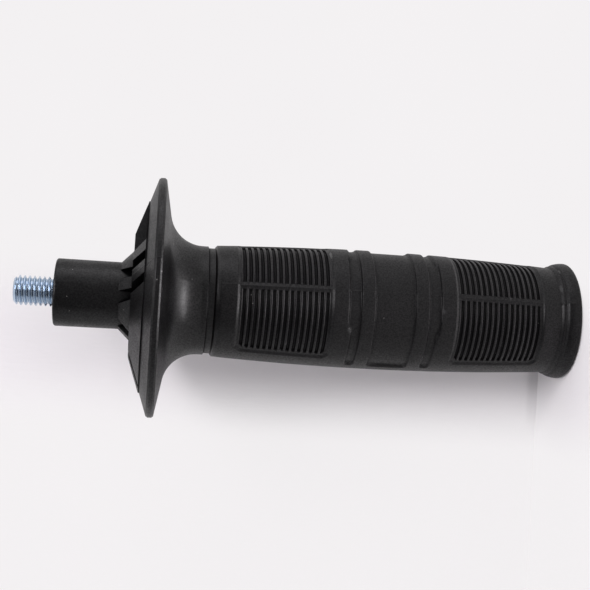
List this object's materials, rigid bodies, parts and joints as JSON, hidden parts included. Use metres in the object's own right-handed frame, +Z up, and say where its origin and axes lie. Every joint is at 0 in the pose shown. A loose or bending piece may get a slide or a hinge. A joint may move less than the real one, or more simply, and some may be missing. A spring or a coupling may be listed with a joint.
{
  "type": "power tool side handle",
  "caption": "Auxiliary side handle for an angle grinder, with a ribbed round hand guard, a soft grooved grip sleeve and a zinc-plated M8 stud.",
  "frame": {"origin": "centre of the flat end of the grip, which the handle stands on", "axes": "+Z up the axis of the grip to the stud; +X and -X are the parting lines of the mould, +Y and -Y its poles"},
  "size_m": [0.0646, 0.0646, 0.1528],
  "materials": {
    "zinc_plated_steel": "blue-white zinc plating on a rolled thread",
    "hard_plastic": "satin black glass-filled moulding",
    "soft_grip": "matt black soft moulding"
  },
  "bodies": {
    "root": {"threaded_stud": "zinc_plated_steel", "guard_and_core": "hard_plastic", "grip_sleeve": "soft_grip"}
  },
  "joints": []
}
